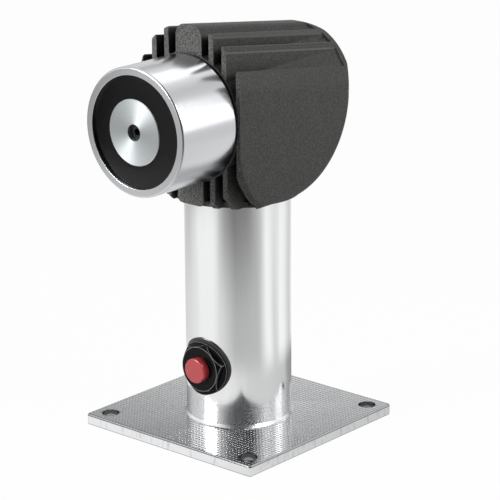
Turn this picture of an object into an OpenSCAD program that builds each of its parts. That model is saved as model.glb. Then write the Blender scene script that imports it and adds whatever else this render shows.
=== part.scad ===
// Electromagnetic door holder on a floor column, with a release push-button.
// Frame: origin on the column axis, on the floor under the base plate.
// +Z is up, the holding face of the magnet looks along -Y. Millimetres.

/* [Base plate] */
// Side of the square base plate
plate_side = 100; // [90:1:130]
// Thickness of the base plate
plate_t = 5; // [4:0.5:8]
// Distance between neighbouring anchor holes
anchor_pitch = 84; // [70:1:86]
// Diameter of an anchor hole
anchor_d = 8; // [6:0.5:9]
// Bore of the grommet that the supply cable comes in through
cable_bore_d = 9; // [6:0.5:10]

/* [Column] */
// Outside diameter of the column tube
tube_d = 48.3; // [48.3:0.1:50]
// Wall of the column tube
tube_wall = 2; // [1.5:0.1:2.5]
// Height of the magnet's axis above the floor
axis_z = 150; // [140:1:240]

/* [Magnet] */
// Outside diameter of the magnet's steel pot
pot_d = 57; // [56:0.5:58]
// Length of the pot along its axis
pot_len = 33.8; // [30:0.1:45]
// Bore of the pot, round the coil
pot_bore_d = 49.8; // [48:0.1:51]
// Diameter of the centre pole
pole_d = 29.2; // [26:0.1:32]
// Diameter of the recess for the fixing screw in the pole
screw_recess_d = 7.4; // [7.4:0.1:8]

/* [Head housing] */
// Width of the housing over its side plates
head_w = 59.4; // [59:0.1:61]
// Distance of the housing's front face ahead of the column axis
head_front = 31.2; // [30.5:0.1:33]
// Radius of the arch that the rib tops follow
arch_r = 30; // [29.9:0.1:31]
// Fall of the rib tops towards the back, in degrees
top_fall = 8; // [6:0.2:9]
// Width of the broad centre rib
mid_rib_w = 15; // [13:0.5:16]
// Radius of the round core that the ribs stand on, at the front
core_r = 28.8; // [28.6:0.1:29.2]

/* [Push-button] */
// Height of the button's axis above the floor
button_z = 32; // [30:1:60]
// Across flats of the hexagonal bezel
bezel_af = 21; // [20:0.5:22]
// Diameter of the red cap
cap_d = 11.6; // [10:0.2:12]
// Travel of the button
button_travel = 3; // [2:0.1:3]

/* [Hidden] */
$fn = 96;
e = 0.01;            // overlap of a cutting tool past the face that it cuts
clear = 0.05;        // assembly gap between turned parts of one body

// base plate and what stands in it
plate_corner_r = 1.5;
plate_chamfer = 0.4;
grommet_r = 7;
grommet_lip_r = 9.5;
grommet_lip_t = 1.5;
weld_w = 0.9;
weld_h = 1.2;

// column tube
tube_r = tube_d / 2;
tube_in_r = tube_r - tube_wall;
swivel_gap = 0.1;
head_drop = 39.6;
head_z = axis_z - head_drop;
socket_depth = 16;
socket_top = head_z + socket_depth;
washer_t = 1;
tube_top = socket_top - washer_t - clear;

// magnet, measured along Y from the pole face
spacer_t = 1.3;
face_y = -head_front - spacer_t - pot_len;
pot_back = -head_front - spacer_t;
pot_r = pot_d / 2;
pot_bore_r = pot_bore_d / 2;
pole_r = pole_d / 2;
pot_base_t = 5;
coil_back = pot_back - pot_base_t;
potting_sink = 0.5;
potting_t = 1.3;
bobbin_wall = 1.2;
lead_hole_r = 3.2;
lead_drop = 19.5;
lead_z = axis_z - lead_drop;
m4_r = 2;
m4_clear_r = 2.25;
m4_head_r = 3.5;
m4_head_h = 4;
screw_sink = 2;
hex_key = 3;
insert_r = 2.8;
insert_len = 9;
screw_len = 39;

// head housing
hw = head_w / 2;
past = 20;           // how far a form or a cutting tool runs past the head
span = 120;          // length that spans the whole head
arch_z = axis_z + 11;
drum_y = 2.2;
drum_z = axis_z + 3;
drum_r = drum_z - head_z;
edge_r = 3;
back_lean = 3;
back_ease = 0.05;    // keeps the leaning back clear of the drum that it touches
back_top_r = 7;
back_top_past = 2;
core_back_r = 29.6;
back_fill_z = axis_z - 3;
groove_end = 42.5;
bowl_r = 45;
bowl_z = axis_z - 10;
bowl_y = [2.5, 9];
rib_1 = [11.6, 14.4];
rib_2 = [19, 21.7];
side_plate = [27, hw + 2];
mid_top_r = 5.5;
mid_foot_r = 2.5;
boss_r = 28.5;
boss_top = axis_z - 8;
rim_r = 30;
rim_h = 2.6;
duct_r = 3.5;
duct_end = 3;
passage_r = 6;
set_screw_r = 2.5;
set_screw_gap = 0.3;
set_screw_len = 4;
set_screw_z = head_z + 10;
set_screw_turn = 30;

// push-button, along Y
button_hole_r = 8.1;
barrel_r = 7.9;
bezel_front = -27.1;
bezel_turn = 16;
bezel_face_r = 10.3;
bezel_rim_r = 12.5;
bezel_rim_t = 0.9;
seal_r = 13.3;
seal_rise = 0.8;
cap_edge = 0.7;
seal_t = 0.8;
cap_r = cap_d / 2;
cap_front = bezel_front - button_travel - 0.5;
cap_len = 7.2;
cap_gap = 0.08;
stem_r = 2.6;
cap_well = cap_front + cap_len + button_travel + 0.3;
spring_seat = -17.5;
stem_end = -9.5;
switch_front = -12;
switch_back = -1;
switch_wall = 2;
switch_in_r = 5.6;
contact_t = 0.8;
contact_x = 4.2;
contact_w = 4;
bridge_y = -11;
bridge_r = 4;
nut_af = 19;
nut_t = 3;
nut_y = -sqrt(pow(tube_in_r, 2) - pow(nut_af / 2, 2)) + 0.05;

// terminal block on the base plate
block = [18, 10, 12];
block_y = 10;
pole_pitch = 9;
wire_r = 0.9;
wire_entry_r = 1.25;
wire_entry_z = plate_t + 4;
block_screw_r = 1.25;

// ---- shapes that are used more than once ----

// Solid that runs along Y, from y0 to y1, of an outline drawn in X and Z
module along_y(y0, y1)
    translate([0, y1, 0]) rotate([90, 0, 0]) linear_extrude(y1 - y0) children();

// Round bar along Y, centred at height z
module bar_y(r, y0, y1, z = 0)
    translate([0, y0, z]) rotate([-90, 0, 0]) cylinder(r = r, h = y1 - y0);

// Ring along Y
module ring_y(r_out, r_in, y0, y1, z)
    difference() {
        bar_y(r_out, y0, y1, z);
        bar_y(r_in, y0 - e, y1 + e, z);
    }

// Ring along Z
module ring_z(r_out, r_in, z0, z1)
    translate([0, 0, z0]) difference() {
        cylinder(r = r_out, h = z1 - z0);
        translate([0, 0, -e]) cylinder(r = r_in, h = z1 - z0 + 2 * e);
    }

// Point on a smooth curve through the points p, at parameter t from 0 to len(p) - 1
function on_route(p, t) =
    let (i = min(floor(t), len(p) - 2), u = t - i,
         a = p[max(i - 1, 0)], b = p[i], c = p[i + 1], d = p[min(i + 2, len(p) - 1)])
    0.5 * (2 * b + (c - a) * u + (2 * a - 5 * b + 4 * c - d) * u * u
        + (3 * b - a - 3 * c + d) * u * u * u);

function unit(v) = v / norm(v);

// Round wire of radius r swept along a list of points. No stretch of it runs along across.
module wire(path, r, sides = 8, across = [1, 0, 0]) {
    n = len(path);
    dir = [for (i = [0:n - 1]) unit(path[min(i + 1, n - 1)] - path[max(i - 1, 0)])];
    side_dir = [for (d = dir) unit(cross(d, across))];
    rings = [for (i = [0:n - 1], k = [0:sides - 1])
        path[i] + r * (cos(360 * k / sides) * side_dir[i]
            + sin(360 * k / sides) * cross(dir[i], side_dir[i]))];
    skin = [for (i = [0:n - 2], k = [0:sides - 1])
        let (k2 = (k + 1) % sides)
        [i * sides + k, i * sides + k2, (i + 1) * sides + k2, (i + 1) * sides + k]];
    start_cap = [[for (k = [sides - 1:-1:0]) k]];
    end_cap = [[for (k = [0:sides - 1]) (n - 1) * sides + k]];
    polyhedron(rings, concat(skin, start_cap, end_cap));
}

// Wire along a route, with some rings to each stretch of it
module lead(route, per_stretch)
    wire([for (i = [0:(len(route) - 1) * per_stretch]) on_route(route, i / per_stretch)], wire_r);

// ---- base plate and column ----

module plate_slab(side, h) {
    c = side / 2 - plate_corner_r;
    linear_extrude(h) union() {
        square([side, 2 * c], center = true);
        square([2 * c, side], center = true);
        for (x = [-c, c], y = [-c, c]) translate([x, y]) circle(r = plate_corner_r, $fn = 32);
    }
}

module base_plate()
    color([0.78, 0.79, 0.80]) difference() {
        hull() {
            plate_slab(plate_side, plate_t - plate_chamfer);
            plate_slab(plate_side - 2 * plate_chamfer, plate_t);
        }
        for (x = [-1, 1], y = [-1, 1])
            translate([x * anchor_pitch / 2, y * anchor_pitch / 2, -e])
                cylinder(d = anchor_d, h = plate_t + 2 * e);
        translate([0, 0, -e]) cylinder(r = grommet_r, h = plate_t + 2 * e);
        translate([0, block_y + block[1] / 2, 0.8]) cylinder(r = block_screw_r + clear, h = plate_t);
    }

// Weld bead in the corner between the tube and the plate
module foot_weld()
    color([0.85, 0.85, 0.86]) rotate_extrude()
        polygon([[tube_r, plate_t], [tube_r + weld_w, plate_t],
            [tube_r + weld_w * 0.55, plate_t + weld_h * 0.4], [tube_r, plate_t + weld_h]]);

module column_tube()
    color([0.80, 0.81, 0.82]) difference() {
        ring_z(tube_r, tube_in_r, plate_t, tube_top);
        bar_y(button_hole_r, -tube_r - 1, 0, button_z);
    }

// Rubber bush in the plate, with a lip on its upper side
module cable_grommet()
    color([0.12, 0.12, 0.13]) difference() {
        union() {
            translate([0, 0, 0.5]) cylinder(r = grommet_r - clear, h = plate_t);
            translate([0, 0, plate_t]) cylinder(r = grommet_lip_r, h = grommet_lip_t);
        }
        translate([0, 0, -e]) cylinder(d = cable_bore_d, h = plate_t + 3);
    }

// ---- terminal block, screwed to the plate inside the foot of the tube ----

module at_poles() for (x = [-1, 1]) translate([x * pole_pitch / 2, 0, 0]) children();

module terminal_block()
    color([0.88, 0.87, 0.82]) difference() {
        translate([-block[0] / 2, block_y, plate_t]) cube(block);
        at_poles() {
            translate([0, block_y - e, wire_entry_z]) rotate([-90, 0, 0])
                cylinder(r = wire_entry_r, h = block[1] + 2 * e);
            translate([-2, block_y + 2, plate_t + 2]) cube([4, 6, block[2] - 6]);
            translate([0, block_y + 5, plate_t + 5])
                cylinder(r = 1.9, h = block[2]);
        }
        translate([0, block_y + block[1] / 2, plate_t - e]) cylinder(r = 1.6, h = block[2] + 2 * e);
        translate([0, block_y + block[1] / 2, plate_t + 4]) cylinder(r = 2.4, h = block[2]);
    }

// Brass clamp of each pole, with a tapped top
module terminal_clamps()
    color([0.78, 0.62, 0.30]) at_poles() difference() {
        translate([-1.95, block_y + 2.05, plate_t + 2.05]) cube([3.9, 5.9, 5.9]);
        translate([0, block_y, wire_entry_z]) rotate([-90, 0, 0]) cylinder(r = wire_entry_r, h = 12);
        translate([0, block_y + 5, plate_t + 4]) cylinder(r = 1.3, h = 9);
    }

// Slotted screws of the clamps, run down to the wires
module terminal_screws()
    color([0.80, 0.80, 0.78]) at_poles() translate([0, block_y + 5, wire_entry_z + 1]) difference() {
        union() {
            cylinder(r = 1.25, h = 3.4);
            translate([0, 0, 3]) cylinder(r = 1.8, h = 2.6);
        }
        translate([-2, -0.25, 4.7]) cube([4, 0.5, 2]);
    }

// Screw that holds the block down
module block_screw()
    color([0.75, 0.75, 0.73]) translate([0, block_y + block[1] / 2, 0]) difference() {
        union() {
            translate([0, 0, 1]) cylinder(r = block_screw_r, h = plate_t + 3);
            translate([0, 0, plate_t + 4]) cylinder(r = 2.3, h = 1.8);
        }
        translate([-2.5, -0.3, plate_t + 5]) cube([5, 0.6, 2]);
    }

// ---- push-button, its axis along Y through the front of the tube ----

// Hexagonal bezel with a thin round rim, threaded barrel and switch body in one
// moulding. Its back is hollowed to follow the tube.
module button_bezel()
    color([0.07, 0.07, 0.08]) difference() {
        union() {
            difference() {
                union() {
                    translate([0, 0, button_z]) intersection() {
                        along_y(bezel_front, -tube_in_r / 2)
                            rotate(bezel_turn) circle(r = bezel_af / sqrt(3), $fn = 6);
                        translate([0, bezel_front, 0]) rotate([-90, 0, 0])
                            cylinder(r1 = bezel_face_r, r2 = bezel_face_r + 20, h = 20);
                    }
                    intersection() {
                        bar_y(bezel_rim_r, -2 * tube_r, -tube_in_r / 2, button_z);
                        cylinder(r = tube_r + seal_t + bezel_rim_t, h = 2 * button_z);
                    }
                }
                cylinder(r = tube_r + seal_t + clear, h = 2 * button_z);
            }
            bar_y(barrel_r, -tube_r - seal_t - 1, switch_back, button_z);
        }
        translate([0, 0, button_z]) {
            bar_y(cap_r + cap_gap, bezel_front - e, cap_well);
            bar_y(stem_r + 1.6, cap_well - e, spring_seat);
            bar_y(stem_r + cap_gap, spring_seat - e, switch_front);
            bar_y(switch_in_r, switch_front - e, switch_back - switch_wall);
            at_contacts() translate([-clear, switch_back - switch_wall - 1, -contact_w / 2 - clear])
                cube([contact_t + 2 * clear, switch_wall + 2, contact_w + 2 * clear]);
        }
    }

// Rubber seal, a thin ring that lies round the tube under the bezel
module button_seal()
    color([0.10, 0.10, 0.11]) difference() {
        intersection() {
            bar_y(seal_r, -tube_r - 5, 0, button_z + seal_rise);
            translate([0, 0, button_z - seal_r - 1]) cylinder(r = tube_r + seal_t, h = 2 * seal_r + 2);
        }
        translate([0, 0, button_z - seal_r - 2]) cylinder(r = tube_r, h = 2 * seal_r + 4);
        bar_y(barrel_r + clear, -tube_r - 6, 0, button_z);
    }

module button_nut()
    color([0.10, 0.10, 0.11]) translate([0, 0, button_z]) difference() {
        along_y(nut_y, nut_y + nut_t) rotate(30) circle(r = nut_af / sqrt(3), $fn = 6);
        bar_y(barrel_r + clear, nut_y - 1, nut_y + nut_t + 1);
    }

// Red cap with a rounded edge, and the stem behind it
module button_cap()
    color([0.80, 0.08, 0.10]) translate([0, 0, button_z]) {
        translate([0, cap_front, 0]) rotate([-90, 0, 0]) rotate_extrude() {
            translate([0, cap_edge]) square([cap_r, cap_len - cap_edge]);
            square([cap_r - cap_edge, 2 * cap_edge]);
            translate([cap_r - cap_edge, cap_edge]) circle(r = cap_edge, $fn = 32);
        }
        bar_y(stem_r, cap_front + cap_len - 1, stem_end);
    }

// Return spring round the stem, between the cap and the seat in the barrel
module button_spring() {
    turns = 4;
    per_turn = 16;
    wire_t = 0.28;
    spring_r = stem_r + 0.75;
    y0 = cap_front + cap_len + wire_t + clear;
    run = spring_seat - wire_t - clear - y0;
    color([0.70, 0.70, 0.70]) translate([0, 0, button_z])
        wire([for (i = [0:turns * per_turn]) let (a = 360 * i / per_turn)
            [spring_r * cos(a), y0 + run * i / (turns * per_turn), spring_r * sin(a)]],
            wire_t, sides = 6, across = [0, 1, 0]);
}

// Brass bridge on the end of the stem, which opens the circuit when it is pushed in
module switch_bridge()
    color([0.80, 0.64, 0.30]) translate([0, 0, button_z]) difference() {
        bar_y(bridge_r, bridge_y, bridge_y + 0.6);
        bar_y(stem_r + clear, bridge_y - 1, bridge_y + 2);
    }

// Frame of each fixed contact: X points away from the button's axis, from the strip's inner face
module at_contacts()
    for (s = [0, 1]) mirror([s, 0, 0]) translate([contact_x, 0, 0]) children();

// Two fixed contacts: a strip along the switch body, with a foot under the bridge
// and a solder tab behind the body
module switch_contacts()
    color([0.80, 0.64, 0.30]) translate([0, 0, button_z]) at_contacts() {
        translate([-1.3, bridge_y - 0.1 - contact_t, -contact_w / 2]) cube([1.4, contact_t, contact_w]);
        translate([0, bridge_y - 0.1 - contact_t, -contact_w / 2]) cube([contact_t, 18, contact_w]);
    }

// ---- head ----

// Nylon washer between the tube's end and the shoulder in the head
module thrust_washer()
    color([0.92, 0.91, 0.86]) ring_z(tube_r, tube_in_r + 0.3, tube_top, tube_top + washer_t);

// Outline of the rib tops: a round arch on straight legs, a little wider than the head
module arch_outline()
    union() {
        circle(r = arch_r, $fn = 180);
        translate([-arch_r, -span]) square([2 * arch_r, span]);
    }

// Tools that follow the fall of the rib tops. Y and Z are counted from the arch's
// centre on the front face.
module on_the_fall()
    translate([0, -head_front, arch_z]) rotate([-top_fall, 0, 0]) children();

// Outline of half the drum, with a rounded rim. X is the distance from its axis.
module drum_outline()
    union() {
        translate([0, -hw]) square([drum_r - edge_r, head_w]);
        translate([0, -hw + edge_r]) square([drum_r, head_w - 2 * edge_r]);
        for (s = [-1, 1]) translate([drum_r - edge_r, s * (hw - edge_r)]) circle(r = edge_r, $fn = 48);
    }

// Rectangle whose lower corners are rounded
module rounded_foot(w, h, r)
    union() {
        translate([-w / 2, r]) square([w, h - r]);
        translate([-w / 2 + r, 0]) square([w - 2 * r, h]);
        for (s = [-1, 1]) translate([s * (w / 2 - r), r]) circle(r = r, $fn = 48);
    }

// Side form: a quarter of the drum at the lower back, straight to the front and to the top.
// Its parts meet face to face, and the lean of the back is cut from them.
module side_form() {
    up = span / 2;
    intersection() {
        union() {
            translate([0, 0, head_z]) along_y(-head_front, drum_y)
                rounded_foot(head_w, drum_r + up, edge_r);
            translate([0, drum_y, drum_z]) rotate([0, 90, 0])
                rotate_extrude(angle = 90, $fn = 180) drum_outline();
            translate([-hw, drum_y, drum_z]) cube([head_w, drum_r + past, up]);
        }
        translate([0, drum_y + drum_r - back_ease, drum_z]) rotate([-back_lean, 0, 0])
            translate([0, 0, -up]) linear_extrude(2 * up) rotate(180)
                rounded_foot(head_w + 2 * back_ease, span, edge_r);
    }
}

// Rounding of the edge between the rib tops and the back, as an outline in Y and Z
module back_top_form() {
    back_y = drum_y + drum_r / cos(back_lean);
    yc = back_y - back_top_r + back_top_past;
    zc = arch_z + arch_r / cos(top_fall) - tan(top_fall) * (yc + head_front)
        - back_top_r / cos(top_fall);
    translate([-hw - past, 0, 0]) rotate([90, 0, 90]) linear_extrude(head_w + 2 * past) union() {
        translate([-span, 0]) square([span + yc + back_top_r * sin(top_fall), zc + span]);
        square([yc + back_top_r, zc]);
        translate([yc, zc]) circle(r = back_top_r, $fn = 64);
    }
}

// Bowl that takes the corners off towards the column
module bowl() {
    for (y = bowl_y) translate([0, y, bowl_z]) {
        sphere(r = bowl_r, $fn = 180);
        cylinder(r = bowl_r, h = span, $fn = 180);
    }
    bar_y(bowl_r, bowl_y[0], bowl_y[1], bowl_z);
    translate([-bowl_r, bowl_y[0], bowl_z]) cube([2 * bowl_r, bowl_y[1] - bowl_y[0], span]);
}

// Broad centre rib, with a round top and softer foot
module mid_rib() {
    x = mid_rib_w / 2;
    on_the_fall() along_y(-past, span) union() {
        translate([-x, -span]) square([2 * x, span + arch_r - mid_top_r]);
        translate([-x + mid_top_r, 0]) square([2 * (x - mid_top_r), arch_r]);
        for (s = [-1, 1]) translate([s * (x - mid_top_r), arch_r - mid_top_r])
            circle(r = mid_top_r, $fn = 64);
    }
}

// Everything that fills the head's outer form: ribs, side plates, core, boss and back
module head_filling() {
    intersection() {
        mid_rib();
        translate([0, 0, head_z]) along_y(-span / 2, span / 2)
            rounded_foot(mid_rib_w, span, mid_foot_r);
    }
    for (s = [0, 1]) mirror([s, 0, 0])
        for (x = [rib_1, rib_2, side_plate])
            translate([x[0], -span / 2, head_z - past]) cube([x[1] - x[0], span, span]);
    translate([0, -head_front, axis_z]) rotate([-90, 0, 0])
        cylinder(r1 = core_r, r2 = core_back_r, h = head_front + drum_y + drum_r, $fn = 180);
    translate([0, 0, head_z - 1]) cylinder(r = rim_r, h = rim_h + 1);
    back_block(0, back_fill_z);
    back_block(groove_end, head_z + span);
}

// Solid that fills the grooves from y0 to the back, up to height z1
module back_block(y0, z1)
    translate([-hw - past, y0, head_z - past]) cube([head_w + 2 * past, span, z1 - head_z + past]);

module head_housing()
    color([0.24, 0.24, 0.25]) difference() {
        union() {
            intersection() {
                on_the_fall() along_y(-1.5 * past, 1.2 * span) arch_outline();
                side_form();
                back_top_form();
                bowl();
                head_filling();
            }
            translate([0, 0, head_z]) cylinder(r = boss_r, h = boss_top - head_z);
        }
        translate([0, 0, head_z - past]) cylinder(r = tube_r + swivel_gap, h = socket_depth + past);
        translate([0, 0, socket_top - 1]) cylinder(r = passage_r, h = lead_z + duct_end - socket_top + 1);
        bar_y(duct_r, -head_front - 1, duct_end, lead_z);
        bar_y(insert_r + clear, -head_front - 1, -head_front + insert_len, axis_z);
        at_set_screws() translate([0, 0, -1]) cylinder(r = set_screw_r, h = 20);
    }

// Frame of each set screw: Z points out of the head, from the tube's surface
module at_set_screws()
    for (a = [90 - set_screw_turn, 90 + set_screw_turn])
        rotate(a) translate([tube_r + set_screw_gap, 0, set_screw_z]) rotate([0, 90, 0]) children();

// Grub screws that clamp the head on the tube
module set_screws()
    color([0.15, 0.15, 0.16]) at_set_screws() difference() {
        cylinder(r = set_screw_r - clear, h = set_screw_len);
        translate([0, 0, set_screw_len - 2]) cylinder(r = 2.5 / sqrt(3), h = 5, $fn = 6);
    }

// Brass thread insert for the pole screw
module thread_insert()
    color([0.80, 0.64, 0.30]) ring_y(insert_r, m4_r + clear, -head_front, -head_front + insert_len, axis_z);

// ---- magnet ----

module lead_holes(y0, y1) bar_y(lead_hole_r, y0, y1, lead_z);

// Spacer disc between the pot and the head
module magnet_spacer()
    color([0.08, 0.08, 0.09]) difference() {
        ring_y(27.4, m4_clear_r, pot_back, -head_front, axis_z);
        lead_holes(pot_back - 1, -head_front + 1);
    }

// Turned steel pot, open to the front, with a chamfered rim
module magnet_pot()
    color([0.82, 0.83, 0.84]) translate([0, 0, axis_z]) rotate([90, 0, 0]) difference() {
        rotate_extrude($fn = 180)
            polygon([
                [m4_clear_r, -pot_back], [pot_r - 0.5, -pot_back], [pot_r, -pot_back + 0.5],
                [pot_r, -face_y - 0.6], [pot_r - 0.6, -face_y], [pot_bore_r, -face_y],
                [pot_bore_r, -coil_back], [m4_clear_r, -coil_back],
            ]);
        translate([0, -lead_drop, -pot_back - 1]) cylinder(r = lead_hole_r, h = pot_base_t + 2);
    }

// Centre pole with the recess for the screw head
module magnet_pole()
    color([0.80, 0.82, 0.82]) translate([0, 0, axis_z]) rotate([90, 0, 0]) rotate_extrude($fn = 180)
        polygon([
            [m4_clear_r, -coil_back], [pole_r, -coil_back], [pole_r, -face_y - 0.3],
            [pole_r - 0.3, -face_y], [screw_recess_d / 2, -face_y],
            [screw_recess_d / 2, -face_y - screw_sink - m4_head_h],
            [m4_clear_r, -face_y - screw_sink - m4_head_h],
        ]);

bobbin_front = face_y + potting_sink + potting_t + clear;

module coil_bobbin()
    color([0.16, 0.16, 0.17]) translate([0, 0, axis_z]) rotate([90, 0, 0]) rotate_extrude()
        polygon([
            [pole_r + 0.1, -coil_back], [pot_bore_r - 0.2, -coil_back],
            [pot_bore_r - 0.2, -coil_back + bobbin_wall],
            [pole_r + bobbin_wall, -coil_back + bobbin_wall],
            [pole_r + bobbin_wall, -bobbin_front - bobbin_wall],
            [pot_bore_r - 0.2, -bobbin_front - bobbin_wall],
            [pot_bore_r - 0.2, -bobbin_front], [pole_r + 0.1, -bobbin_front],
        ]);

module coil_winding()
    color([0.72, 0.38, 0.20]) ring_y(pot_bore_r - 1, pole_r + bobbin_wall + clear,
        bobbin_front + bobbin_wall + clear, coil_back - bobbin_wall - clear, axis_z);

// Cast resin ring that closes the coil space at the front
module coil_potting()
    color([0.06, 0.06, 0.07]) ring_y(pot_bore_r - clear, pole_r + clear,
        face_y + potting_sink, face_y + potting_sink + potting_t, axis_z);

// Socket-head screw through the pole into the head
module pole_screw()
    color([0.13, 0.13, 0.14]) translate([0, face_y + screw_sink, axis_z]) rotate([-90, 0, 0])
        difference() {
            union() {
                cylinder(r = m4_head_r, h = m4_head_h);
                cylinder(r = m4_r, h = screw_len);
            }
            translate([0, 0, -e]) cylinder(r = hex_key / sqrt(3), h = 2.5, $fn = 6);
        }

// ---- leads ----

// From the coil, back through the duct, down the column and into the terminal block
route_a = [
    [-1.2, coil_back, lead_z], [-1.2, -20, lead_z], [-1.2, -6, lead_z], [-1.4, 1, 124],
    [-1.6, 2, 110], [-3, 8, 80], [-7, 12, 52], [-7, 11, 30], [-4.5, 6, 15],
    [-4.5, 7.5, wire_entry_z + 0.2], [-4.5, 14, wire_entry_z],
];

// From the coil to the tab of the switch
route_b = [
    [1.2, coil_back, lead_z], [1.2, -20, lead_z], [1.2, -6, lead_z], [1.4, 0, 124],
    [1.6, 0, 110], [1, 6, 80], [-1, 12, 55], [-4.2, 12, 40], [-4.6, 7.4, button_z],
];

// From the other tab of the switch to the terminal block
route_c = [
    [4.6, 7.4, button_z], [6, 11, 27], [6.5, 9, 19], [4.5, 5, 13],
    [4.5, 7.5, wire_entry_z + 0.2], [4.5, 14, wire_entry_z],
];

module coil_lead_a() color([0.65, 0.08, 0.08]) lead(route_a, 5);
module coil_lead_b() color([0.10, 0.10, 0.11]) lead(route_b, 5);
module switch_lead() color([0.10, 0.10, 0.11]) lead(route_c, 5);

base_plate();
foot_weld();
column_tube();
cable_grommet();
terminal_block();
terminal_clamps();
terminal_screws();
block_screw();
button_bezel();
button_seal();
button_nut();
button_cap();
button_spring();
switch_bridge();
switch_contacts();
switch_lead();
thrust_washer();
head_housing();
thread_insert();
set_screws();
magnet_spacer();
magnet_pot();
magnet_pole();
coil_bobbin();
coil_winding();
coil_potting();
pole_screw();
coil_lead_a();
coil_lead_b();
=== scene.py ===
import math

import bmesh
import bpy
from mathutils import Matrix, Vector


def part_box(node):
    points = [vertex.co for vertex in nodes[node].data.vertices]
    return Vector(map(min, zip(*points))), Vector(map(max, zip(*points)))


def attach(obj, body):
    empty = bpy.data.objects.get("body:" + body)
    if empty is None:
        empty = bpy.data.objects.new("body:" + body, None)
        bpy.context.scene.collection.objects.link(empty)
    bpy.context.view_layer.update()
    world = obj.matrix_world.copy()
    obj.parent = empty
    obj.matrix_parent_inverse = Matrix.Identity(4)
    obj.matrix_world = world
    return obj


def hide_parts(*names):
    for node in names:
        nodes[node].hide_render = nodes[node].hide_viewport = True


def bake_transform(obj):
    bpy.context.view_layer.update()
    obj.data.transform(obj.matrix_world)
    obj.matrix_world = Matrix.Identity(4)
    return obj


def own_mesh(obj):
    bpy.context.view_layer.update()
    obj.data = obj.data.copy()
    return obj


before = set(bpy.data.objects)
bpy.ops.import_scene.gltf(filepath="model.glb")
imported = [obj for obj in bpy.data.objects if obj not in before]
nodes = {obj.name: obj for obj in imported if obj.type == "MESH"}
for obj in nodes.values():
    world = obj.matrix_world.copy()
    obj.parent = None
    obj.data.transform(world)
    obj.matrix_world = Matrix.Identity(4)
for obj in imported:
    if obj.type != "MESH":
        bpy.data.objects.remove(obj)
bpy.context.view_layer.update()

mm = 0.001


# ---- Camera ----
# A long lens, a little above the head, looking at the corner between the
# magnet's face and the right side of the column.

view_turn = math.radians(41.06)
view_rise = math.radians(17.335)
view_roll = math.radians(-0.403)
view_distance = 1.09625
view_target = Vector((4.13, 3.60, 81.87)) * mm


def placed(name, data):
    """New object that holds this data, linked to the scene."""
    thing = bpy.data.objects.new(name, data)
    bpy.context.scene.collection.objects.link(thing)
    return thing


towards_camera = Vector((
    math.sin(view_turn) * math.cos(view_rise),
    -math.cos(view_turn) * math.cos(view_rise),
    math.sin(view_rise),
))
level_right = Vector((math.cos(view_turn), math.sin(view_turn), 0))
level_up = towards_camera.cross(level_right)
camera_right = level_right * math.cos(view_roll) + level_up * math.sin(view_roll)
camera_up = level_up * math.cos(view_roll) - level_right * math.sin(view_roll)
camera_axes = Matrix((camera_right, camera_up, towards_camera)).transposed().to_4x4()

camera_data = bpy.data.cameras.new("camera")
camera_data.lens = 174.05
camera_data.sensor_width = 36
camera = placed("camera", camera_data)
camera.matrix_world = Matrix.Translation(view_target + towards_camera * view_distance) @ camera_axes
bpy.context.scene.camera = camera


# ---- Studio: pale room, floor and lamps ----
# The bright metal shows the room round it: pale walls and a pale floor, a dark
# drape in front where the camera stands, and grey stretches between panels.

bpy.context.scene.view_settings.view_transform = "Standard"
front = Vector((math.sin(view_turn), -math.cos(view_turn), 0))
fill_light = 0.13
floor_size = 3.0
floor_whiteness = 0.975
lamp_aim = Vector((0, 0, 0.1))

# Each panel stop is a turn in degrees to the right of the front, and a grey from 0, black, to 1, white.
low_wall = [
    (-180, 0.95), (-175, 0.80), (-168, 0.25), (-144, 0.45), (-120, 1.00), (-60, 1.00), (-36, 0.45),
    (-12, 0.05), (24, 0.02), (48, 0.35), (58, 1.00), (66, 1.00), (76, 0.65), (86, 1.00), (114, 1.00),
    (138, 0.25), (156, 1.00), (180, 0.95),
]
grey_wall = [
    (-180, 0.25), (-176, 0.10), (-168, 0.15), (-120, 0.90), (-50, 0.90), (-24, 0.15), (30, 0.03),
    (56, 0.90), (110, 1.00), (140, 0.60), (160, 0.60), (180, 0.25),
]
high_wall = [
    (-180, 1.00), (-150, 0.80), (-50, 0.90), (-20, 0.10), (25, 0.10), (60, 0.90), (98, 0.95),
    (108, 0.70), (120, 0.70), (134, 1.00), (180, 1.00),
]
# Painted shadow: the ring nearest the plate is darker on its far side, a shadow painted into the floor that
# only reflections see.
plate_shadow_floor = [
    (-180, 0.90), (-20, 0.90), (20, 0.70), (105, 0.60), (120, 0.35), (150, 0.30), (170, 0.45), (180, 0.80),
]
near_floor = [
    (-180, 0.95), (-150, 0.70), (-96, 0.85), (-84, 0.95), (-52, 0.95), (-6, 0.50), (42, 0.55), (60, 1.00),
    (68, 1.00), (80, 0.70), (96, 1.00), (108, 1.00), (134, 0.65), (168, 1.00), (180, 0.95),
]
far_floor = [
    (-180, 0.95), (-144, 0.60), (-126, 0.60), (-90, 1.00), (-50, 1.00), (-30, 0.40), (-6, 0.20),
    (24, 0.30), (48, 0.55), (60, 1.00), (68, 1.00), (84, 0.80), (102, 1.00), (114, 1.00), (140, 0.65),
    (180, 0.95),
]
outer_floor = [
    (-180, 0.80), (-140, 0.40), (-98, 0.10), (-84, 0.40), (-68, 0.65), (-50, 0.55), (-20, 0.15),
    (20, 0.15), (60, 0.80), (180, 0.80),
]

# A wall ring stands at a height on a sphere of radius 1, a floor ring at a distance in metres.
wall_rings = [(0.335, low_wall), (0.385, grey_wall), (0.57, high_wall)]
floor_rings = [
    (0.10, plate_shadow_floor), (0.13, near_floor), (0.20, near_floor), (0.36, far_floor), (0.50, outer_floor),
]


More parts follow.
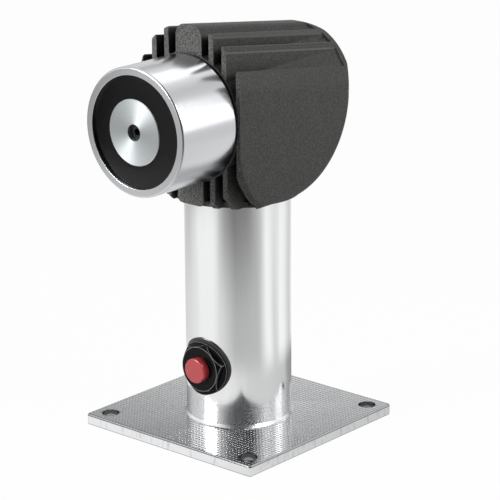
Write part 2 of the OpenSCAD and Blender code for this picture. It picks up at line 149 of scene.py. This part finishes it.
def vector_step(tree, operation, value, other=(0, 0, 0)):
    """One step of vector arithmetic. LENGTH and DOT_PRODUCT give a number, the others a vector."""
    node = tree.nodes.new("ShaderNodeVectorMath")
    node.operation = operation
    node.inputs[1].default_value = other
    tree.links.new(value, node.inputs[0])
    return node.outputs["Value"] if operation in ("LENGTH", "DOT_PRODUCT") else node.outputs["Vector"]


def spread(tree, value, low, high, start=0.3, end=0.7):
    """Maps a value from the range start to end onto the range low to high."""
    node = tree.nodes.new("ShaderNodeMapRange")
    node.inputs["From Min"].default_value = start
    node.inputs["From Max"].default_value = end
    node.inputs["To Min"].default_value = low
    node.inputs["To Max"].default_value = high
    tree.links.new(value, node.inputs["Value"])
    return node.outputs[0]


def mixed(tree, share, first, second):
    """Colour that goes from first to second as share goes from 0 to 1. Each is a tuple or a socket."""
    node = tree.nodes.new("ShaderNodeMix")
    node.data_type = "RGBA"
    tree.links.new(share, node.inputs["Factor"])
    for letter, color in (("A", first), ("B", second)):
        if isinstance(color, tuple):
            node.inputs[letter].default_value = (*color, 1)
        else:
            tree.links.new(color, node.inputs[letter])
    return node.outputs["Result"]


def bands_round(tree, turn, bands):
    """Grey of one ring of panels by compass turn."""
    ramp = tree.nodes.new("ShaderNodeValToRGB")
    stops = ramp.color_ramp.elements
    while len(stops) < len(bands):
        stops.new(0.5)
    for stop, (degrees, grey) in zip(stops, bands):
        stop.position = (degrees + 180) / 360
        stop.color = (grey, grey, grey, 1)
    tree.links.new(turn, ramp.inputs[0])
    return ramp.outputs["Color"]


def room_grey(tree, direction, measure, rings):
    """Grey of the room in a direction. measure says how far between the rings that direction lies."""
    compass = tree.nodes.new("ShaderNodeMath")
    compass.operation = "ARCTAN2"
    tree.links.new(vector_step(tree, "DOT_PRODUCT", direction, level_right), compass.inputs[0])
    tree.links.new(vector_step(tree, "DOT_PRODUCT", direction, front), compass.inputs[1])
    turn = spread(tree, compass.outputs[0], 0, 1, -math.pi, math.pi)
    grey = bands_round(tree, turn, rings[0][1])
    for (start, _), (end, bands) in zip(rings, rings[1:]):
        grey = mixed(tree, spread(tree, measure, 0, 1, start, end), grey, bands_round(tree, turn, bands))
    return grey


def camera_or_room(tree, for_camera, for_room, for_light):
    """Picks what camera rays see, what glossy and transmission rays see, and what lights the object."""
    path = tree.nodes.new("ShaderNodeLightPath")
    shown = tree.nodes.new("ShaderNodeMath")
    shown.operation = "MAXIMUM"
    tree.links.new(path.outputs["Is Glossy Ray"], shown.inputs[0])
    tree.links.new(path.outputs["Is Transmission Ray"], shown.inputs[1])
    mirror = tree.nodes.new("ShaderNodeMixShader")
    tree.links.new(shown.outputs[0], mirror.inputs[0])
    tree.links.new(for_light, mirror.inputs[1])
    tree.links.new(for_room, mirror.inputs[2])
    picked = tree.nodes.new("ShaderNodeMixShader")
    tree.links.new(path.outputs["Is Camera Ray"], picked.inputs[0])
    tree.links.new(mirror.outputs[0], picked.inputs[1])
    tree.links.new(for_camera, picked.inputs[2])
    return picked.outputs[0]


def background(tree, strength=1.0, color=None):
    """White of a strength, or a colour socket."""
    shader = tree.nodes.new("ShaderNodeBackground")
    shader.inputs["Color"].default_value = (1, 1, 1, 1)
    shader.inputs["Strength"].default_value = strength
    if color is not None:
        tree.links.new(color, shader.inputs["Color"])
    return shader.outputs[0]


world = bpy.data.worlds.new("white_room")
world.use_nodes = True
bpy.context.scene.world = world
tree = world.node_tree
tree.nodes.clear()
direction = tree.nodes.new("ShaderNodeTexCoord").outputs["Generated"]
height = tree.nodes.new("ShaderNodeSeparateXYZ")
tree.links.new(direction, height.inputs[0])
walls = background(tree, color=room_grey(tree, direction, height.outputs["Z"], wall_rings))
room = camera_or_room(tree, background(tree), walls, background(tree, fill_light))
world_out = tree.nodes.new("ShaderNodeOutputWorld")
tree.links.new(room, world_out.inputs["Surface"])

bpy.ops.mesh.primitive_plane_add(size=2 * floor_size, location=(0, 0, 0))
floor = bpy.context.object
floor.name = "floor"
floor_finish = bpy.data.materials.new("floor_paper")
floor_finish.use_nodes = True
tree = floor_finish.node_tree
tree.nodes.clear()
paper = tree.nodes.new("ShaderNodeBsdfDiffuse")
paper.inputs["Color"].default_value = (0.90, 0.90, 0.90, 1)
white = tree.nodes.new("ShaderNodeEmission")
seen_floor = tree.nodes.new("ShaderNodeMixShader")
seen_floor.inputs[0].default_value = floor_whiteness
tree.links.new(paper.outputs[0], seen_floor.inputs[1])
tree.links.new(white.outputs[0], seen_floor.inputs[2])
mirrored = tree.nodes.new("ShaderNodeEmission")
place = tree.nodes.new("ShaderNodeTexCoord").outputs["Object"]
floor_grey = room_grey(tree, place, vector_step(tree, "LENGTH", place), floor_rings)
tree.links.new(floor_grey, mirrored.inputs["Color"])
shown_floor = camera_or_room(tree, seen_floor.outputs[0], mirrored.outputs[0], paper.outputs[0])
floor_out = tree.nodes.new("ShaderNodeOutputMaterial")
tree.links.new(shown_floor, floor_out.inputs["Surface"])
floor.data.materials.append(floor_finish)


def soft_lamp(name, turn, rise, distance, size, power):
    """Square soft lamp, placed by turn to the right of the front and by rise above the floor, in degrees."""
    towards = level_right * math.sin(math.radians(turn)) + front * math.cos(math.radians(turn))
    towards = towards * math.cos(math.radians(rise)) + Vector((0, 0, math.sin(math.radians(rise))))
    lamp_data = bpy.data.lights.new(name, "AREA")
    lamp_data.energy = power
    lamp_data.size = size
    lamp = placed(name, lamp_data)
    lamp.location = lamp_aim + towards * distance
    lamp.rotation_euler = towards.to_track_quat("Z", "Y").to_euler()


soft_lamp("lamp_key", turn=-66, rise=18, distance=1.5, size=0.6, power=17)
soft_lamp("lamp_right", turn=97, rise=10, distance=1.3, size=0.45, power=0.5)
soft_lamp("lamp_back", turn=154, rise=42, distance=1.4, size=0.45, power=0.5)
soft_lamp("lamp_top", turn=62, rise=36, distance=0.36, size=0.15, power=0.55)


# ---- Base plate ----
# Square plate of bright stainless sheet, 5 mm thick, with rows of small raised
# pips pressed into its top. Sheared, with the edges deburred, and drilled at
# the corners for four anchors.

plate_low, plate_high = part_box("base_plate")
rim_zone = 3 * mm
rim_rounding = 0.45 * mm
anchor_place = 42 * mm
anchor_edge = 4.2 * mm
anchor_wall = 0.25 * mm
anchor_clear = 4.9 * mm
weld_clear = 25.6 * mm

pip_pitch = (1.81 * mm, 2.02 * mm)
pip_radius = 0.62 * mm
pip_height = 0.17 * mm
pip_shadow_reach = 1.0 * mm
pip_margin = 1.2 * mm
pip_sides = 8
pip_rings = ((1.0, -0.15), (0.72, 0.55))
columns = int((plate_high.x - plate_low.x - 2 * pip_margin) / pip_pitch[0])
rows = int((plate_high.y - plate_low.y - 2 * pip_margin) / pip_pitch[1])

seam_gap = 0.002 * mm
flat_angle = math.radians(0.5)
sharp_angle = math.radians(25)
crease_angle = math.radians(40)

sheet_dull = (0.86, 0.87, 0.88)
sheet_bright = (0.94, 0.945, 0.95)
sheet_streak = (0.66, 0.665, 0.67)
pip_painted_shadow = (0.40, 0.405, 0.41)
anchor_hole_painted_shade = (0.16, 0.165, 0.17)
rim_painted_shade = (0.22, 0.225, 0.23)


def finish(name, color, metallic=0.0, roughness=0.5):
    """New material: returns it with its tree and its shader."""
    material = bpy.data.materials.new(name)
    material.use_nodes = True
    shader = material.node_tree.nodes["Principled BSDF"]
    shader.inputs["Base Color"].default_value = (*color, 1)
    shader.inputs["Metallic"].default_value = metallic
    shader.inputs["Roughness"].default_value = roughness
    return material, material.node_tree, shader


def noise(tree, scale, stretch=(1, 1, 1), detail=3.0):
    """Noise over the object, scale counted per metre, stretched along X, Y and Z."""
    place = tree.nodes.new("ShaderNodeTexCoord").outputs["Object"]
    mapping = tree.nodes.new("ShaderNodeMapping")
    mapping.inputs["Scale"].default_value = stretch
    tree.links.new(place, mapping.inputs["Vector"])
    texture = tree.nodes.new("ShaderNodeTexNoise")
    texture.inputs["Scale"].default_value = scale
    texture.inputs["Detail"].default_value = detail
    tree.links.new(mapping.outputs[0], texture.inputs["Vector"])
    return texture.outputs["Fac"]


def painted_edges(tree, color, edge_color):
    """Colour, with edge_color painted on the rounded edges that softened makes; the materials use it for
    painted shade, painted glints and painted highlights along edges, and for wear.
    """
    attribute = tree.nodes.new("ShaderNodeAttribute")
    attribute.attribute_name = "edge_paint"
    return mixed(tree, attribute.outputs["Fac"], color, edge_color)


def smooth_mesh(name, shape):
    """Mesh data of a shape, shaded smooth. The shape is used up."""
    for face in shape.faces:
        face.smooth = True
    mesh = bpy.data.meshes.new(name)
    shape.to_mesh(mesh)
    shape.free()
    return mesh


def softened(node, name, body, material, rounds):
    """Piece that stands for a node: its own mesh with its sharp edges rounded. Each of rounds says which
    edges, how far from the edge, and in how many steps. Rounded faces along outer edges carry a face mark of
    1, where a material paints an edge colour."""
    shape = bmesh.new()
    shape.from_mesh(nodes[node].data)
    bmesh.ops.remove_doubles(shape, verts=shape.verts, dist=seam_gap)
    bmesh.ops.dissolve_limit(shape, angle_limit=flat_angle, verts=shape.verts, edges=shape.edges)
    edge_paint_mark = shape.faces.layers.float.new("edge_paint")
    for pick, width, steps in rounds:
        sharp = [edge for edge in shape.edges if len(edge.link_faces) == 2
                 and edge.calc_face_angle() > sharp_angle and pick(edge)]
        made = bmesh.ops.bevel(shape, geom=sharp, offset=width, offset_type="OFFSET", segments=steps,
                               profile=0.5, affect="EDGES", clamp_overlap=False)
        for face in made["faces"]:
            face[edge_paint_mark] = 1 if sum(edge.is_convex for edge in face.edges) > 2 else 0
    mesh = smooth_mesh(name, shape)
    mesh.set_sharp_from_angle(angle=crease_angle)
    piece = placed(name, mesh)
    piece.data.materials.append(material)
    evened = piece.modifiers.new("even_shading", "WEIGHTED_NORMAL")
    evened.keep_sharp = True
    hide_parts(node)
    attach(piece, body)


def plate_rim(edge):
    """Edges of the plate outside its holes."""
    middle = (edge.verts[0].co + edge.verts[1].co) / 2
    return max(abs(middle.x), abs(middle.y)) > plate_high.x - rim_zone


plate_finish, tree, shader = finish("plate_bright_steel", (0.85, 0.86, 0.87), 1.0, 0.07)
tree.links.new(spread(tree, noise(tree, 90), 0.05, 0.10), shader.inputs["Roughness"])
streaks = spread(tree, noise(tree, 500, (1, 1, 0.25), 4), 0, 1, 0.28, 0.46)
sheet = mixed(tree, noise(tree, 40), sheet_dull, sheet_bright)
sheet = mixed(tree, streaks, sheet_streak, sheet)

place = tree.nodes.new("ShaderNodeTexCoord").outputs["Object"]
cell = vector_step(tree, "MULTIPLY", place, (1 / pip_pitch[0], 1 / pip_pitch[1], 0))
cell = vector_step(tree, "ADD", cell, (columns / 2 + 0.5, rows / 2 + 0.5, 0))
cell = vector_step(tree, "FRACTION", cell)
cell = vector_step(tree, "SUBTRACT", cell, (0.5, 0.5, 0))
cell = vector_step(tree, "MULTIPLY", cell, (pip_pitch[0], pip_pitch[1], 0))
from_pip = vector_step(tree, "LENGTH", cell)
upward = tree.nodes.new("ShaderNodeTexCoord").outputs["Normal"]
upward = vector_step(tree, "DOT_PRODUCT", upward, (0, 0, 1))
# Painted shadow: a dark grey ring round each pip, on faces that point up.
pip_shadow_share = tree.nodes.new("ShaderNodeMath")
pip_shadow_share.operation = "MAXIMUM"
tree.links.new(spread(tree, from_pip, 0, 1, pip_radius, pip_shadow_reach), pip_shadow_share.inputs[0])
tree.links.new(spread(tree, upward, 1, 0, 0.5, 0.9), pip_shadow_share.inputs[1])
sheet = mixed(tree, pip_shadow_share.outputs[0], pip_painted_shadow, sheet)

# Painted shade: the walls of the anchor holes are dark grey.
corner = vector_step(tree, "ABSOLUTE", place)
corner = vector_step(tree, "MULTIPLY", corner, (1, 1, 0))
corner = vector_step(tree, "SUBTRACT", corner, (anchor_place, anchor_place, 0))
from_anchor = vector_step(tree, "LENGTH", corner)
anchor_shade_share = spread(tree, from_anchor, 0, 1, anchor_edge - anchor_wall, anchor_edge)
sheet = mixed(tree, anchor_shade_share, anchor_hole_painted_shade, sheet)
# The rounded rim takes a dark grey: painted shade along the plate's edge.
tree.links.new(painted_edges(tree, sheet, rim_painted_shade), shader.inputs["Base Color"])
softened("base_plate", "plate_rounded", "column", plate_finish, [(plate_rim, rim_rounding, 3)])

# The pips are the plate's steel in a darker colour: painted shade that dims their glints.
pip_finish, tree, shader = finish("pip_steel_painted_darker", (0.42, 0.43, 0.44), 1.0, 0.36)
tree.links.new(spread(tree, noise(tree, 900), 0.30, 0.42), shader.inputs["Roughness"])

pip_shape = bmesh.new()
for i in range(columns + 1):
    for j in range(rows + 1):
        x = (i - columns / 2) * pip_pitch[0]
        y = (j - rows / 2) * pip_pitch[1]
        if math.hypot(x, y) < weld_clear:
            continue
        if math.hypot(abs(x) - anchor_place, abs(y) - anchor_place) < anchor_clear:
            continue
        rings = []
        for share, lift in pip_rings:
            rings.append([pip_shape.verts.new((
                x + share * pip_radius * math.cos(2 * math.pi * k / pip_sides),
                y + share * pip_radius * math.sin(2 * math.pi * k / pip_sides),
                plate_high.z + lift * pip_height)) for k in range(pip_sides)])
        top = pip_shape.verts.new((x, y, plate_high.z + pip_height))
        for k in range(pip_sides):
            n = (k + 1) % pip_sides
            pip_shape.faces.new((rings[0][k], rings[0][n], rings[1][n], rings[1][k]))
            pip_shape.faces.new((rings[1][k], rings[1][n], top))
plate_pips = placed("plate_pips", smooth_mesh("plate_pips", pip_shape))
plate_pips.data.materials.append(pip_finish)
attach(plate_pips, "column")


# ---- Weld bead ----
# Thin bead of stainless weld metal that runs round the foot of the tube and
# joins it to the plate. Polished bright after welding.


def relief(tree, value, depth):
    """Bump of a depth in metres."""
    node = tree.nodes.new("ShaderNodeBump")
    node.inputs["Distance"].default_value = depth
    node.inputs["Strength"].default_value = 1.0
    tree.links.new(value, node.inputs["Height"])
    return node.outputs[0]


def give(node, material):
    """Puts a finish on a node that keeps its own mesh."""
    nodes[node].data.materials[0] = material


weld_finish, tree, shader = finish("weld_bright_bead", (0.85, 0.85, 0.86), 1.0, 0.2)
tree.links.new(relief(tree, noise(tree, 900), 0.06 * mm), shader.inputs["Normal"])
give("foot_weld", weld_finish)


# ---- Column tube ----
# Round tube of stainless steel, ground and polished along its length. It is
# bored once near the foot for the push-button, and welded to the plate.

tube_finish, tree, shader = finish("tube_polished_steel", (0.90, 0.905, 0.91), 1.0, 0.15)
tree.links.new(spread(tree, noise(tree, 260, (1, 1, 0.04)), 0.11, 0.19), shader.inputs["Roughness"])
give("column_tube", tube_finish)


# ---- Cable grommet ----
# Bush of soft black rubber, pressed into the hole in the middle of the plate.
# It guards the supply cable where it comes in.

grommet_finish, tree, shader = finish("grommet_rubber", (0.015, 0.015, 0.016), 0.0, 0.6)
tree.links.new(relief(tree, noise(tree, 2500), 0.04 * mm), shader.inputs["Normal"])
give("cable_grommet", grommet_finish)


# ---- Push-button: bezel, seal, nut, cap and spring ----
# Black glossy moulded bezel on a thin rubber seal, held by a nut from inside.
# The red cap stands out of it on a return spring.

bezel_black = (0.003, 0.003, 0.0035)
bezel_grey = (0.006, 0.006, 0.0065)
bezel_edge_painted_glint = (0.30, 0.30, 0.305)
cap_red_dark = (0.44, 0.03, 0.035)
cap_red_light = (0.52, 0.05, 0.055)


def any_edge(edge):
    """Every sharp edge."""
    return True


def moving_copy(node, name, material):
    """Piece that stands for a node and has the same shape, with its own copy of the mesh and a new material.
    """
    piece = placed(name, nodes[node].data.copy())
    piece.data.materials.clear()
    piece.data.materials.append(material)
    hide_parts(node)
    return piece


bezel_finish, tree, shader = finish("bezel_glossy_black", bezel_black, 0.0, 0.12)
shader.inputs["Specular IOR Level"].default_value = 0.1
bezel_color = mixed(tree, noise(tree, 400), bezel_black, bezel_grey)
# The rounded edges take a light grey: painted glints along the bezel's edges.
tree.links.new(painted_edges(tree, bezel_color, bezel_edge_painted_glint), shader.inputs["Base Color"])
tree.links.new(spread(tree, noise(tree, 500), 0.05, 0.12), shader.inputs["Roughness"])
softened("button_bezel", "bezel_rounded", "column", bezel_finish, [(any_edge, 0.1 * mm, 3)])

seal_finish, tree, shader = finish("seal_rubber", (0.02, 0.02, 0.021), 0.0, 0.4)
tree.links.new(relief(tree, noise(tree, 2500), 0.03 * mm), shader.inputs["Normal"])
give("button_seal", seal_finish)

nut_finish, tree, shader = finish("nut_plastic", (0.02, 0.02, 0.02), 0.0, 0.45)
tree.links.new(relief(tree, noise(tree, 1500), 0.03 * mm), shader.inputs["Normal"])
give("button_nut", nut_finish)

cap_finish, tree, shader = finish("cap_red_plastic", (0.55, 0.03, 0.035), 0.0, 0.25)
tree.links.new(mixed(tree, noise(tree, 150), cap_red_dark, cap_red_light), shader.inputs["Base Color"])
shader.inputs["Coat Weight"].default_value = 0.6
shader.inputs["Coat Roughness"].default_value = 0.06
softened("button_cap", "cap_rounded", "button", cap_finish, [(any_edge, 0.6 * mm, 4)])

spring_finish, tree, shader = finish("spring_steel_wire", (0.55, 0.55, 0.56), 1.0, 0.3)
tree.links.new(relief(tree, noise(tree, 3000), 0.02 * mm), shader.inputs["Normal"])
spring_coils = moving_copy("button_spring", "spring_coils", spring_finish)
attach(spring_coils, "column")
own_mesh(spring_coils)


# ---- Switch, terminal block and leads ----
# Brass contacts in the back of the button, and a two-pole block of pale plastic
# screwed to the plate inside the tube. One lead joins the coil to the block,
# one the coil to the switch, and a short one the switch to the block.

lead_red = (0.45, 0.02, 0.02)
lead_black = (0.02, 0.02, 0.02)

brass_finish, tree, shader = finish("contact_brass", (0.75, 0.55, 0.24), 1.0, 0.3)
tree.links.new(relief(tree, noise(tree, 1800), 0.02 * mm), shader.inputs["Normal"])
for name in ("switch_bridge", "switch_contacts", "terminal_clamps", "thread_insert"):
    give(name, brass_finish)

block_finish, tree, shader = finish("block_pale_plastic", (0.75, 0.73, 0.66), 0.0, 0.5)
tree.links.new(relief(tree, noise(tree, 1200), 0.03 * mm), shader.inputs["Normal"])
give("terminal_block", block_finish)

zinc_finish, tree, shader = finish("screw_zinc", (0.70, 0.70, 0.68), 1.0, 0.35)
tree.links.new(relief(tree, noise(tree, 1800), 0.02 * mm), shader.inputs["Normal"])
for name in ("terminal_screws", "block_screw"):
    give(name, zinc_finish)


def lead_finish(name, color):
    """Soft plastic jacket of a lead."""
    material, tree, shader = finish("jacket_" + name, color, 0.0, 0.4)
    tree.links.new(relief(tree, noise(tree, 1500), 0.02 * mm), shader.inputs["Normal"])
    return material


for name, color, slot in (("coil_lead_a", lead_red, "lead_red"), ("coil_lead_b", lead_black, "lead_black")):
    jacket = moving_copy(name, name + "_jacket", lead_finish(name, color))
    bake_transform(jacket)
give("switch_lead", lead_finish("switch_lead", lead_black))


# ---- Head housing ----
# One moulding of black filled plastic with a fine spark-eroded grain. It turns
# on the tube over a nylon washer, and two blackened set screws clamp it.

magnet_height = 150 * mm
grooves_end = 42.6 * mm
rib_rounding = 0.8 * mm
edge_rounding = 0.25 * mm
shade_reach = 9 * mm

smooth_dark = (0.043, 0.042, 0.0405)
smooth_light = (0.077, 0.076, 0.073)
painted_lit_front_dark = (0.046, 0.045, 0.044)
painted_lit_front_light = (0.165, 0.163, 0.157)
painted_shade_black = (0.004, 0.004, 0.004)
housing_edge_highlight_and_wear = (0.13, 0.128, 0.124)


def rib_top(edge):
    """Long edges on both sides of a rib's or side plate's top."""
    sides = [abs(face.normal.x) > 0.99 for face in edge.link_faces]
    middle = (edge.verts[0].co + edge.verts[1].co) / 2
    start, end = sorted(vert.co.y for vert in edge.verts)
    lengthwise = end - start > 0.5 * mm and end < grooves_end
    return any(sides) and not all(sides) and middle.z > magnet_height and lengthwise


def face_width(edge):
    """Width of the narrower face beside an edge."""
    return min(face.calc_area() / max(side.calc_length() for side in face.edges) for face in edge.link_faces)


def plain_edge(edge):
    """Outer edges, near square, between faces that leave room to round them."""
    return (edge.is_convex and math.radians(70) < edge.calc_face_angle() < math.radians(110)
            and edge.calc_length() > 1.2 * mm and face_width(edge) > 1.0 * mm
            and max(vert.co.y for vert in edge.verts) < grooves_end)


housing_finish, tree, shader = finish("housing_black_plastic", (0.08, 0.079, 0.076), 0.0, 0.5)
shader.inputs["Specular IOR Level"].default_value = 0.25
speckle = spread(tree, noise(tree, 1500, detail=4), 0, 1, 0.40, 0.60)
smooth_grain = mixed(tree, speckle, smooth_dark, smooth_light)
# Painted light: faces that point to the front take a lighter, more contrasted grain than the others, light
# painted into the colour over the real speckle.
painted_lit_front_grain = mixed(tree, speckle, painted_lit_front_dark, painted_lit_front_light)
forward = tree.nodes.new("ShaderNodeTexCoord").outputs["Normal"]
forward = vector_step(tree, "DOT_PRODUCT", forward, (0, -1, 0))
grain = mixed(tree, spread(tree, forward, 0, 1, 0.6, 0.95), smooth_grain, painted_lit_front_grain)
# Painted shade: ambient occlusion darkens the gaps between the ribs and other recesses to near black, shade
# painted into the colour.
painted_shade_occlusion = tree.nodes.new("ShaderNodeAmbientOcclusion")
painted_shade_occlusion.inputs["Distance"].default_value = shade_reach
grain = mixed(tree, spread(tree, painted_shade_occlusion.outputs["AO"], 0, 1, 0.22, 0.58), painted_shade_black, grain)
# The rounded edges take a lighter grey: painted highlight along the edges, and wear.
tree.links.new(painted_edges(tree, grain, housing_edge_highlight_and_wear), shader.inputs["Base Color"])
tree.links.new(spread(tree, noise(tree, 1200), 0.44, 0.60), shader.inputs["Roughness"])
tree.links.new(relief(tree, noise(tree, 2600), 0.08 * mm), shader.inputs["Normal"])
softened("head_housing", "housing_rounded", "head", housing_finish,
         [(rib_top, rib_rounding, 4), (plain_edge, edge_rounding, 2)])

washer_finish, tree, shader = finish("washer_nylon", (0.80, 0.79, 0.74), 0.0, 0.45)
tree.links.new(relief(tree, noise(tree, 1200), 0.02 * mm), shader.inputs["Normal"])
give("thrust_washer", washer_finish)

dark_screw_finish, tree, shader = finish("screw_blackened", (0.03, 0.03, 0.032), 0.6, 0.35)
tree.links.new(relief(tree, noise(tree, 2200), 0.02 * mm), shader.inputs["Normal"])
for name in ("set_screws", "pole_screw"):
    give(name, dark_screw_finish)


# ---- Magnet ----
# Turned steel pot and pole, plated bright, with a copper coil on its bobbin
# between them, closed by a ring of cast black resin. One screw through the
# pole holds it all to the head, over a thin black spacer.

pole_dull = (0.58, 0.62, 0.63)
pole_bright = (0.76, 0.80, 0.81)


def turned(tree, pitch, across):
    """Fine tool marks round the magnet's axis: rings on a face across it, or bands along it."""
    place = tree.nodes.new("ShaderNodeTexCoord").outputs["Object"]
    if across:
        place = vector_step(tree, "SUBTRACT", place, (0, 0, magnet_height))
        place = vector_step(tree, "MULTIPLY", place, (1, 0, 1))
        measure = vector_step(tree, "LENGTH", place)
    else:
        measure = vector_step(tree, "DOT_PRODUCT", place, (0, 1, 0))
    texture = tree.nodes.new("ShaderNodeTexNoise")
    texture.noise_dimensions = "1D"
    texture.inputs["Scale"].default_value = 1 / pitch
    texture.inputs["Detail"].default_value = 3
    tree.links.new(measure, texture.inputs["W"])
    return texture.outputs["Fac"]


def round_the_axis(tree, shader):
    """Turns the sheen across the tool marks, which run round the magnet's axis."""
    shader.inputs["Anisotropic Rotation"].default_value = 0.25
    tangent = tree.nodes.new("ShaderNodeTangent")
    tangent.direction_type = "RADIAL"
    tangent.axis = "Y"
    tree.links.new(tangent.outputs[0], shader.inputs["Tangent"])


pot_finish, tree, shader = finish("pot_bright_plating", (0.68, 0.69, 0.71), 1.0, 0.2)
shader.inputs["Anisotropic"].default_value = 0.3
round_the_axis(tree, shader)
tree.links.new(spread(tree, turned(tree, 0.5 * mm, False), 0.18, 0.27), shader.inputs["Roughness"])
softened("magnet_pot", "pot_rounded", "head", pot_finish, [(any_edge, 0.22 * mm, 3)])

pole_finish, tree, shader = finish("pole_turned_face", (0.60, 0.64, 0.65), 1.0, 0.32)
shader.inputs["Anisotropic"].default_value = 0.7
round_the_axis(tree, shader)
pole_color = mixed(tree, turned(tree, 0.4 * mm, True), pole_dull, pole_bright)
tree.links.new(pole_color, shader.inputs["Base Color"])
give("magnet_pole", pole_finish)

resin_finish, tree, shader = finish("potting_resin", (0.0015, 0.0015, 0.002), 0.0, 0.16)
shader.inputs["Specular IOR Level"].default_value = 0.28
tree.links.new(relief(tree, noise(tree, 300), 0.06 * mm), shader.inputs["Normal"])

resin_low, resin_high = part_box("coil_potting")
ring_outer = (resin_high.x - resin_low.x) / 2
ring_inner = 14.65 * mm
ring_depth = 1.3 * mm
ring_fall = 0.8 * mm
ring_fall_curve = 1.4
ring_steps = 12
ring_turns = 128
ring_profile = [(ring_inner, ring_depth), (ring_inner, 0)]
for step in range(1, ring_steps + 1):
    share = step / ring_steps
    radius = ring_inner + share * (ring_outer - ring_inner)
    ring_profile.append((radius, ring_fall * share ** ring_fall_curve))
ring_profile.append((ring_outer, ring_depth))

ring_shape = bmesh.new()
ring_rows = [[ring_shape.verts.new((
    radius * math.cos(2 * math.pi * k / ring_turns), resin_low.y + depth,
    magnet_height + radius * math.sin(2 * math.pi * k / ring_turns))) for k in range(ring_turns)]
    for radius, depth in ring_profile]
for low, high in zip(ring_rows, ring_rows[1:] + ring_rows[:1]):
    for k in range(ring_turns):
        n = (k + 1) % ring_turns
        ring_shape.faces.new((low[k], low[n], high[n], high[k]))
bmesh.ops.recalc_face_normals(ring_shape, faces=ring_shape.faces)
potting_ring = placed("potting_ring", smooth_mesh("potting_ring", ring_shape))
potting_ring.data.set_sharp_from_angle(angle=crease_angle)
potting_ring.data.materials.append(resin_finish)
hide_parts("coil_potting")
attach(potting_ring, "head")

spacer_finish, tree, shader = finish("spacer_black", (0.01, 0.01, 0.01), 0.0, 0.6)
tree.links.new(relief(tree, noise(tree, 1800), 0.03 * mm), shader.inputs["Normal"])
for name in ("magnet_spacer", "coil_bobbin"):
    give(name, spacer_finish)

copper_finish, tree, shader = finish("winding_copper", (0.60, 0.26, 0.12), 1.0, 0.35)
tree.links.new(relief(tree, noise(tree, 400, (0.1, 20, 0.1)), 0.1 * mm), shader.inputs["Normal"])
give("coil_winding", copper_finish)
